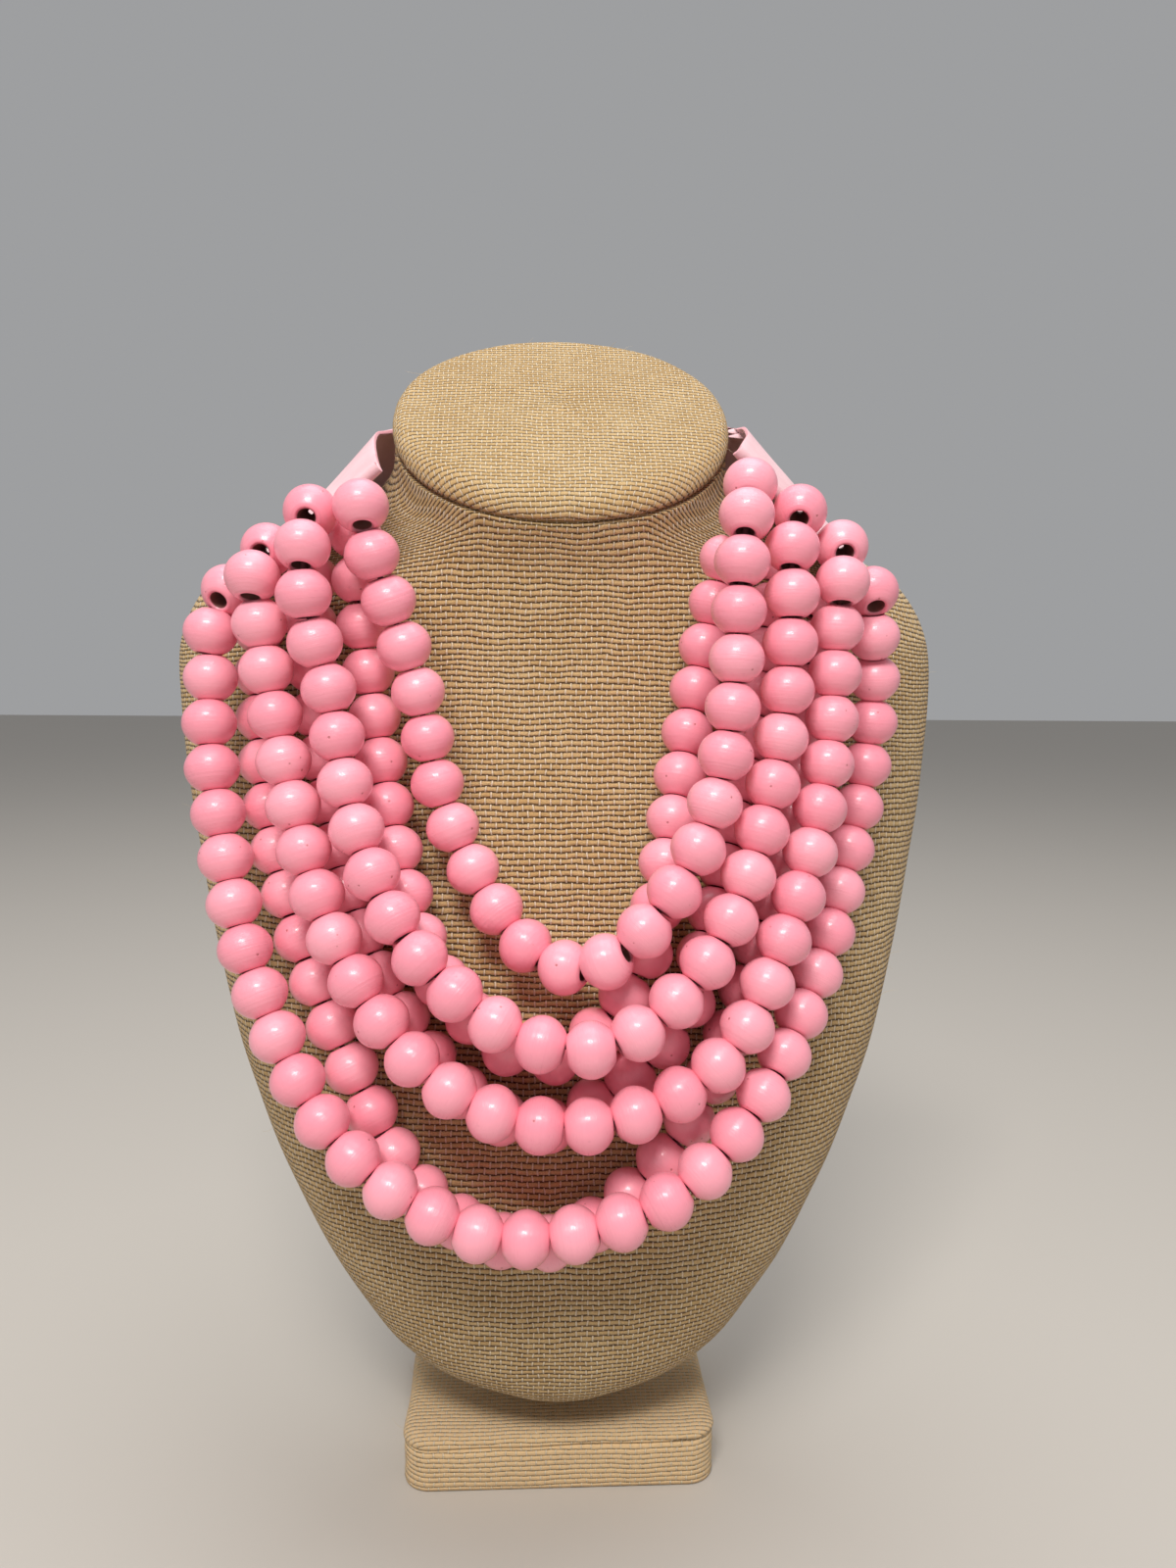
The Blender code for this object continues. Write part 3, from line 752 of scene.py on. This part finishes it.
def makeTab(name, place):
    # A sheet from the clasp to the hem, whose end rolls over and lies back on its outer face.
    stations = [("flap", 1 - 0.125 * k) for k in range(8)]
    stations += [("roll", turn) for turn in range(0, 170, 15)]
    last = len(tab["rows"]) - 1
    stations += [("row", 0.1 * k) for k in range(10 * last + 1)]
    bm = bmesh.new()
    segments = len(stations) - 1
    bmesh.ops.create_grid(bm, x_segments=tab["across"], y_segments=segments, size=0.5)
    tuck = bm.verts.layers.deform.verify()
    for vert in bm.verts:
        share = vert.co.x + 0.5
        kind, value = stations[round((vert.co.y + 0.5) * segments)]
        edge = abs(share - 0.5) * 2
        reach = place["reach"] * (max(0.0, 1 - value / 1.5) if kind == "row" else 1.0)
        share -= reach * (1 - share) ** 2  # the inner edge lies against the neck
        if kind == "flap":  # with rounded corners
            vert.co = hemPoint(place, share, 0, value * (1 - 0.5 * max(0.0, edge - 0.85) / 0.15))
        elif kind == "roll":
            vert.co = hemPoint(place, share, value)
        else:
            point = tabPoint(place, value, share)
            ease = min(1.0, value * 0.8) * min(1.0, (last - value) * 2)
            inner, outer = tabEdges(place, value)
            wave = noise.noise(point * tab["waveScale"]) * tab["wave"] * ease
            vert.co = point + (outer - inner).cross(Vector((0, 1, 0))).normalized() * wave
        vert[tuck][0] = tab["thinFlap"] if kind == "flap" and value > 0.3 else 1.0
    bmesh.ops.recalc_face_normals(bm, faces=bm.faces)
    newName = name.replace("leather_tab", "pink_tab")
    piece = finishPiece(newName, bm, [leatherFace, leatherEdge], [name])
    piece.vertex_groups.new(name="full leather")
    wall = piece.modifiers.new("wall", "SOLIDIFY")
    wall.thickness = tab["leather"]
    wall.offset = 0.0
    wall.material_offset_rim = 1
    wall.vertex_group = "full leather"
    soft = piece.modifiers.new("soft edges", "BEVEL")
    soft.width = tab["rounding"]
    soft.segments = 2
    soft.limit_method = "ANGLE"
    soft.angle_limit = math.radians(50)


for tabName, tabPlace in tab["sides"].items():
    makeTab(tabName, tabPlace)
nodes["back_clasp"].data.materials.clear()
nodes["back_clasp"].data.materials.append(leatherFace)
print("leather tabs ready")

# The strands of turned beads. Each route runs over the bust as seen from the front (x, z),
# and was fitted to the photo.

bead = {
    "diameter": 0.0160, "pitch": 0.0139, "gap": 0.0010, "bore": 0.0024, "sides": 10,
    "profile": (-61, -36, -12, 12, 36, 61), "thread": 0.0010, "stub": 0.0015,
    "routeSteps": 5, "smoothing": 60, "settling": 16, "probeShares": (0.4, 0.7, 0.9, 0.99), "probeTurns": 12,
    "uneven": 0.00012, "unevenScale": 130, "spread": 0.012, "lathe": 0.965, "fullness": 0.53, "mouth": 0.985,
    "waist": 0.3, "coat": 0.30, "relief": 0.00022, "threadSides": 6,
    "paint": (0.98, 0.385, 0.475), "paintDeep": (0.94, 0.32, 0.41), "paintDark": (0.72, 0.17, 0.24),
    # The bore's colour is raw wood, darkened further as painted shade inside the hole.
    "speck": (0.45, 0.12, 0.12), "boreWoodInShade": (0.16, 0.055, 0.045),
    # The thread's colours are darkened far below the beads' pink, as painted shade.
    "threadDark": (0.12, 0.035, 0.04), "threadLight": (0.26, 0.09, 0.10),
}
strands = {
    "back_strand_3": {"beads": 33, "slide": 0.5, "hang": 0.90, "leave": 165, "route": [
        (-0.095, 0.282), (-0.094, 0.258), (-0.090, 0.222), (-0.079, 0.187), (-0.065, 0.155),
        (-0.046, 0.120), (-0.024, 0.103), (-0.002, 0.101), (0.017, 0.113), (0.037, 0.136),
        (0.052, 0.168), (0.064, 0.205), (0.075, 0.243), (0.079, 0.270), (0.081, 0.292)]},
    "back_strand_2": {"beads": 29, "slide": 0.5, "hang": 0.50, "leave": 165, "route": [
        (-0.077, 0.295), (-0.078, 0.270), (-0.073, 0.232), (-0.064, 0.198), (-0.049, 0.168),
        (-0.030, 0.145), (-0.008, 0.135), (0.013, 0.145), (0.034, 0.167), (0.045, 0.200),
        (0.055, 0.234), (0.061, 0.268), (0.066, 0.298)]},
    "back_strand_1": {"beads": 27, "slide": 0.5, "hang": 0.19, "leave": 165, "route": [
        (-0.063, 0.303), (-0.061, 0.277), (-0.056, 0.242), (-0.050, 0.212), (-0.040, 0.184),
        (-0.024, 0.164), (-0.009, 0.155), (0.006, 0.161), (0.021, 0.180), (0.029, 0.207),
        (0.036, 0.240), (0.041, 0.264), (0.047, 0.290), (0.051, 0.308)]},
    "front_strand_4": {"beads": 36, "slide": 0.5, "hang": 0.98, "leave": 75, "route": [
        (-0.104, 0.285), (-0.106, 0.264), (-0.105, 0.240), (-0.100, 0.213), (-0.094, 0.189),
        (-0.083, 0.163), (-0.068, 0.139), (-0.046, 0.121), (-0.022, 0.110), (0.003, 0.111),
        (0.028, 0.120), (0.047, 0.135), (0.063, 0.155), (0.078, 0.181), (0.088, 0.210),
        (0.095, 0.237), (0.097, 0.264), (0.094, 0.284)]},
    "front_strand_3": {"beads": 32, "slide": 0.5, "hang": 0.68, "leave": 75, "route": [
        (-0.090, 0.299), (-0.089, 0.278), (-0.085, 0.255), (-0.079, 0.228), (-0.070, 0.200),
        (-0.056, 0.175), (-0.038, 0.155), (-0.015, 0.143), (0.006, 0.142), (0.027, 0.147),
        (0.047, 0.161), (0.061, 0.187), (0.071, 0.213), (0.078, 0.243), (0.080, 0.270),
        (0.081, 0.293)]},
    "front_strand_2": {"beads": 28, "slide": 0.5, "hang": 0.37, "leave": 75, "route": [
        (-0.075, 0.304), (-0.074, 0.283), (-0.068, 0.260), (-0.063, 0.233), (-0.054, 0.208),
        (-0.040, 0.187), (-0.018, 0.169), (0.000, 0.164), (0.020, 0.168), (0.039, 0.186),
        (0.052, 0.210), (0.060, 0.237), (0.064, 0.263), (0.065, 0.289), (0.066, 0.308)]},
    "front_strand_1": {"beads": 24, "slide": 0.8, "hang": 0.02, "leave": 75, "route": [
        (-0.059, 0.310), (-0.051, 0.285), (-0.043, 0.259), (-0.038, 0.233), (-0.027, 0.208),
        (-0.012, 0.188), (0.001, 0.183), (0.013, 0.188), (0.027, 0.202), (0.038, 0.220),
        (0.045, 0.244), (0.048, 0.270), (0.049, 0.295), (0.052, 0.318)]},
}


def smoothRoute(points, step):
    # Points every step or so along a smooth curve through the route's own points.
    found = []
    for index in range(len(points) - 1):
        near = [points[max(0, min(len(points) - 1, index + k))] for k in (-1, 0, 1, 2)]
        count = max(1, round((near[2] - near[1]).length / step))
        for k in range(count):
            found.append(Vector([catmull(*(p[axis] for p in near), k / count) for axis in (0, 1)]))
    return found + [points[-1]]


def restDepth(x, z, below):
    # How far forward a bead at x, z lies when it touches the bust and the beads below it.
    radius = 0.5 * bead["diameter"]
    touch = bead["diameter"] + bead["gap"]
    count = bead["probeTurns"]
    probes = [(0.0, 0.0)]
    probes += [(share, 2 * math.pi * k / count) for share in bead["probeShares"] for k in range(count)]
    best = 0.0
    for share, turn in probes:
        dx = radius * share * math.cos(turn)
        dz = radius * share * math.sin(turn)
        place = torsoTree.ray_cast(Vector((x + dx, -bust["width"], z + dz)), Vector((0.0, 1.0, 0.0)))[0]
        if place is not None:
            best = min(best, place.y - radius * math.sqrt(1 - share * share) - bead["gap"])
    for lower in below:
        apart = math.hypot(x - lower.x, z - lower.z)
        if apart < touch:
            best = min(best, lower.y - math.sqrt(touch * touch - apart * apart))
    return best


def threadStart(place, strand):
    # Where a strand's thread leaves the hem, turned about the curl's centre.
    centre, along, outward = hemCurl(place, strand["hang"])
    leave = math.radians(strand["leave"])
    away = outward * math.cos(leave) + along * math.sin(leave)
    return centre + away * (tab["hem"] + 0.5 * tab["leather"] + bead["thread"] + tab["gap"])


def strandPath(strand, below):
    # The strand's curve from one hem to the other, resting on the bust and on the beads below it.
    first = threadStart(tab["sides"]["leather_tab_left"], strand)
    last = threadStart(tab["sides"]["leather_tab_right"], strand)
    middle = [Vector(point) for point in strand["route"]]
    route = [Vector((first.x, first.z))] + middle + [Vector((last.x, last.z))]
    flat = smoothRoute(route, bead["pitch"] / bead["routeSteps"])
    rest = [restDepth(point.x, point.y, below) for point in flat]
    rest[0] = first.y
    rest[-1] = last.y
    depth = list(rest)
    for _ in range(bead["smoothing"]):
        for i in range(1, len(depth) - 1):
            depth[i] = min(rest[i], 0.5 * (depth[i - 1] + depth[i + 1]))
    return [Vector((point.x, y, point.y)) for point, y in zip(flat, depth)]


def placeBeads(path, count, slide):
    # Bead centres along the path at an even pitch, and that pitch.
    sums = [0.0]
    for a, b in zip(path, path[1:]):
        sums.append(sums[-1] + (b - a).length)
    pitch = min(bead["pitch"], (sums[-1] - 2 * bead["stub"]) / count)

    def at(distance):
        i = max(0, min(len(path) - 2, bisect.bisect_right(sums, distance) - 1))
        return path[i].lerp(path[i + 1], (distance - sums[i]) / (sums[i + 1] - sums[i]))

    start = slide * (sums[-1] - count * pitch)
    ends = [at(start + pitch * i) for i in range(count + 1)]
    return [0.5 * (a + b) for a, b in zip(ends, ends[1:])], pitch


def settle(path, centres, pitch, below):
    # Moves the beads until each keeps its pitch and rests on what is below, and returns their directions.
    for _ in range(bead["settling"]):
        for a, b in zip(centres, centres[1:]):
            gap = b - a
            shift = 0.5 * (gap.length - pitch) / gap.length * gap
            a += shift
            b -= shift
        for centre in centres:
            centre.y = min(centre.y, restDepth(centre.x, centre.z, below))
    middles = [0.5 * (a + b) for a, b in zip(centres, centres[1:])]
    first = centres[0] + 0.5 * pitch * (path[0] - centres[0]).normalized()
    last = centres[-1] + 0.5 * pitch * (path[-1] - centres[-1]).normalized()
    ends = [first] + middles + [last]
    return [(b - a).normalized() for a, b in zip(ends, ends[1:])]


def turnBead():
    # One bead, spun about its bore: a flattened ball with a rounded mouth at each end of the hole.
    roundness = (2 + math.cos(2 * math.pi / bead["sides"])) / 3  # what the subdivision takes off a ring
    radius = 0.5 * bead["diameter"] / roundness / bead["lathe"]
    half = bead["fullness"] * bead["pitch"] / bead["lathe"]
    bm = bmesh.new()
    angles = [math.radians(degrees) for degrees in bead["profile"]]
    profile = [(radius * math.cos(angle), half * math.sin(angle)) for angle in angles]
    bore = bead["bore"] / roundness
    mouth = 0.5 * bead["pitch"] * bead["mouth"]
    waist = bead["thread"] * bead["waist"]  # the bore closes halfway in, so no light comes through
    profile += [(bore * 1.30, mouth), (bore * 0.98, mouth * 0.86), (bore * 0.7, mouth * 0.25), (waist, 0.0)]
    profile += [(bore * 0.7, -mouth * 0.25), (bore * 0.98, -mouth * 0.86), (bore * 1.30, -mouth)]
    verts = [bm.verts.new((r, 0.0, z)) for r, z in profile]
    edges = [bm.edges.new((a, b)) for a, b in zip(verts, verts[1:] + verts[:1])]
    bmesh.ops.spin(bm, geom=verts + edges, cent=(0, 0, 0), axis=(0, 0, 1), dvec=(0, 0, 0),
                   angle=2 * math.pi, steps=bead["sides"], use_merge=True, use_duplicate=False)
    bmesh.ops.remove_doubles(bm, verts=bm.verts, dist=0.00001)
    bmesh.ops.recalc_face_normals(bm, faces=bm.faces)
    along = bm.verts.layers.float.new("beadAlong")
    inside = bm.verts.layers.float.new("beadBore")
    for vert in bm.verts:
        vert[along] = vert.co.z / mouth
        vert[inside] = 1.0 if math.hypot(vert.co.x, vert.co.y) < bore * 1.1 else 0.0
    mesh = bpy.data.meshes.new("turned bead")
    bm.to_mesh(mesh)
    bm.free()
    return mesh


def makeBeadPaint():
    # Satin pink paint over turned wood: fine rings round the bore, specks and small dents.
    group, given, sink = newGroup("turned paint", [
        ("Place", "Vector", None), ("Along", "Float", 0.0), ("Tone", "Float", 0.5),
    ], [("Color", "Color"), ("Height", "Float"), ("Roughness", "Float")])
    place, along, tone = given["Place"], given["Along"], given["Tone"]
    wobble, _ = grain(group, place, 130.0, 1.0)
    rings, _ = grain(group, join(group, along + wobble * 0.05, tone * 7.0, 0.0), 34.0, 3.0, 0.7)
    coarse, _ = grain(group, join(group, along + wobble * 0.03, tone * 11.0, 4.0), 9.0, 2.0, 0.5)
    lumps, _ = grain(group, place, 420.0, 2.0, 0.5)
    strokes, _ = grain(group, place, 1700.0, 2.0, 0.6)
    cells = group.nodes.new("ShaderNodeTexVoronoi")
    cells.inputs["Scale"].default_value = 330.0
    feed(group, cells.inputs["Vector"], place)
    chance = split(group, Wire(group, cells.outputs["Color"]))[0]
    speck = ramp(group, Wire(group, cells.outputs["Distance"]), 0.16, 0.07) * ramp(group, chance, 0.86, 0.90)
    cloud, _ = grain(group, place, 90.0, 1.0)
    shade = ramp(group, tone * 0.6 + cloud * 0.4, 0.25, 0.75)
    paint = blendColour(group, shade, bead["paintDeep"], bead["paint"])
    paint = blendColour(group, ramp(group, rings, 0.62, 0.80, 0.0, 0.28), paint, bead["paintDark"])
    paint = blendColour(group, speck * 0.75, paint, bead["speck"])
    mouth = ramp(group, along.size(), 0.93, 1.0)
    paint = blendColour(group, mouth * 0.35, paint, bead["paintDark"])
    feed(group, sink.inputs["Color"], paint)
    height = rings * 0.45 + coarse * 0.40 + lumps * 0.40 + strokes * 0.08 - speck * 0.5
    feed(group, sink.inputs["Height"], height)
    feed(group, sink.inputs["Roughness"], rings * 0.16 + lumps * 0.10 + 0.17)
    return group


paintGroup = makeBeadPaint()


def makeBeadMaterial():
    gloss = {"Specular_IOR_Level": 0.5, "Coat_Weight": bead["coat"], "Coat_Roughness": 0.14}
    material, tree, shader = newMaterial("pink turned wood", **gloss)
    given = {"Along": attribute(tree, "beadAlong"), "Tone": attribute(tree, "beadTone")}
    paint = useGroup(tree, paintGroup, {"Place": objectPlace(tree), **given})
    # Inside the bore the paint gives way to a dark brown: raw wood, darkened further as painted shade in the
    # hole.
    bore = ramp(tree, attribute(tree, "beadBore"), 0.35, 0.75)
    feed(tree, shader.inputs["Base Color"], blendColour(tree, bore, paint["Color"], bead["boreWoodInShade"]))
    feed(tree, shader.inputs["Roughness"], paint["Roughness"] + bore * 0.4)
    feed(tree, shader.inputs["Coat Weight"], bore * -bead["coat"] + bead["coat"])
    addBump(tree, shader, paint["Height"], bead["relief"])
    return material


def makeThreadMaterial():
    # The thread is a dark red far below the beads' pink: painted shade, so it shows as dark as the shade
    # inside the bores.
    material, tree, shader = newMaterial("thread darkened as bore shade", Roughness=0.8)
    twist, _ = grain(tree, objectPlace(tree), 1400.0, 2.0)
    colour = blendColour(tree, twist, bead["threadDark"], bead["threadLight"])
    feed(tree, shader.inputs["Base Color"], colour)
    return material


beadPaint = makeBeadMaterial()
threadMaterial = makeThreadMaterial()
turnedBead = turnBead()


def makeStrand(name, path, centres, axes):
    # The beads of one strand on their thread, each turned and shaped a little differently.
    bm = bmesh.new()
    bm.from_mesh(turnedBead)
    bm.clear()
    tones = bm.verts.layers.float.new("beadTone")
    for centre, axis in zip(centres, axes):
        bm.from_mesh(turnedBead)
        bm.verts.ensure_lookup_table()
        fresh = bm.verts[-len(turnedBead.vertices):]
        size = 1 + random.uniform(-bead["spread"], 0.3 * bead["spread"])
        tone = random.random()
        shift = Vector([random.uniform(0, 90) for _ in range(3)])
        spun = Matrix.Rotation(random.uniform(0, 6.28), 3, "Z").to_quaternion()
        tilt = Vector((0, 0, 1)).rotation_difference(axis) @ spun
        for vert in fresh:
            vert[tones] = tone
            bump = noise.noise(vert.co * bead["unevenScale"] + shift) * bead["uneven"]
            point = vert.co * size + vert.co.normalized() * bump
            vert.co = centre + tilt @ point
    thread = [path[0]] + centres + [path[-1]]
    rings = []
    for k, point in enumerate(thread):
        ahead = thread[min(k + 1, len(thread) - 1)] - thread[max(k - 1, 0)]
        first = ahead.cross(Vector((0, 1, 0.3))).normalized()
        other = ahead.cross(first).normalized()
        turns = [2 * math.pi * j / bead["threadSides"] for j in range(bead["threadSides"])]
        rings.append([point + (first * math.cos(t) + other * math.sin(t)) * bead["thread"] for t in turns])
    known = set(bm.faces)
    stackRings(bm, rings)
    bmesh.ops.holes_fill(bm, edges=[edge for edge in bm.edges if edge.is_boundary], sides=0)
    threadFaces = [face for face in bm.faces if face not in known]
    for face in threadFaces:
        face.material_index = 1
    bmesh.ops.recalc_face_normals(bm, faces=threadFaces)
    piece = finishPiece(name + "_beads", bm, [beadPaint, threadMaterial], [name])
    finer = piece.modifiers.new("round", "SUBSURF")
    finer.levels = 2
    finer.render_levels = 2


def makeStrands():
    # The strands are laid from the bust outward, each on the ones already there.
    random.seed(5)
    below = []
    for name, strand in strands.items():
        path = strandPath(strand, below)
        centres, pitch = placeBeads(path, strand["beads"], strand["slide"])
        axes = settle(path, centres, pitch, below)
        makeStrand(name, path, centres, axes)
        below += centres


makeStrands()
print("strands ready")

# Floor, lights and camera

stand = {
    "camera": (-0.0115, -0.4013, 0.268), "turn": -3.0, "down": 5.6, "roll": 0.45, "lens": 27.0,
    "sensor": 36.0,
    "floor": (0.52, 0.485, 0.44, 1.0), "floorSize": 6.0, "air": (0.90, 0.91, 0.93, 1.0), "airLight": 0.38,
    "aim": (0.0, 0.0, 0.2),
}


def makeCamera():
    # Looks from the height of the chest, a little down and a little from the left.
    turn = math.radians(-stand["turn"])
    down = math.radians(stand["down"])
    roll = math.radians(stand["roll"])
    forward = Vector((math.sin(turn) * math.cos(down), math.cos(turn) * math.cos(down), -math.sin(down)))
    level = Vector((math.cos(turn), -math.sin(turn), 0.0))
    upright = level.cross(forward)
    right = level * math.cos(roll) + upright * math.sin(roll)
    above = upright * math.cos(roll) - level * math.sin(roll)
    data = bpy.data.cameras.new("camera")
    data.lens = stand["lens"]
    data.sensor_width = stand["sensor"]
    data.clip_start = 0.01
    camera = bpy.data.objects.new("camera", data)
    bpy.context.scene.collection.objects.link(camera)
    turned = Matrix((right, above, -forward)).transposed().to_4x4()
    camera.matrix_world = Matrix.Translation(stand["camera"]) @ turned
    bpy.context.scene.camera = camera


def addSoftbox(name, place, width, height, power, colour=(1.0, 1.0, 1.0)):
    data = bpy.data.lights.new(name, "AREA")
    data.shape = "RECTANGLE"
    data.size = width
    data.size_y = height
    data.energy = power
    data.color = colour
    light = bpy.data.objects.new(name, data)
    bpy.context.scene.collection.objects.link(light)
    light.location = place
    light.rotation_euler = (Vector(stand["aim"]) - Vector(place)).to_track_quat("-Z", "Y").to_euler()


def makeFloor():
    bm = bmesh.new()
    bmesh.ops.create_grid(bm, x_segments=1, y_segments=1, size=stand["floorSize"])
    mesh = bpy.data.meshes.new("floor")
    bm.to_mesh(mesh)
    bm.free()
    material, _, _ = newMaterial("pale floor", Base_Color=stand["floor"], Roughness=0.65)
    mesh.materials.append(material)
    floor = bpy.data.objects.new("floor", mesh)
    bpy.context.scene.collection.objects.link(floor)
    world = bpy.data.worlds.new("room")
    world.use_nodes = True
    background = world.node_tree.nodes["Background"]
    background.inputs["Color"].default_value = stand["air"]
    background.inputs["Strength"].default_value = stand["airLight"]
    bpy.context.scene.world = world
    bpy.context.scene.view_settings.view_transform = "Standard"


makeCamera()
makeFloor()
addSoftbox("window", (-0.20, -1.05, 1.35), 0.60, 0.34, 21.0, (1.0, 0.97, 0.93))
addSoftbox("ceiling", (0.1, 0.1, 1.9), 1.6, 1.2, 16.0)
print("room ready")
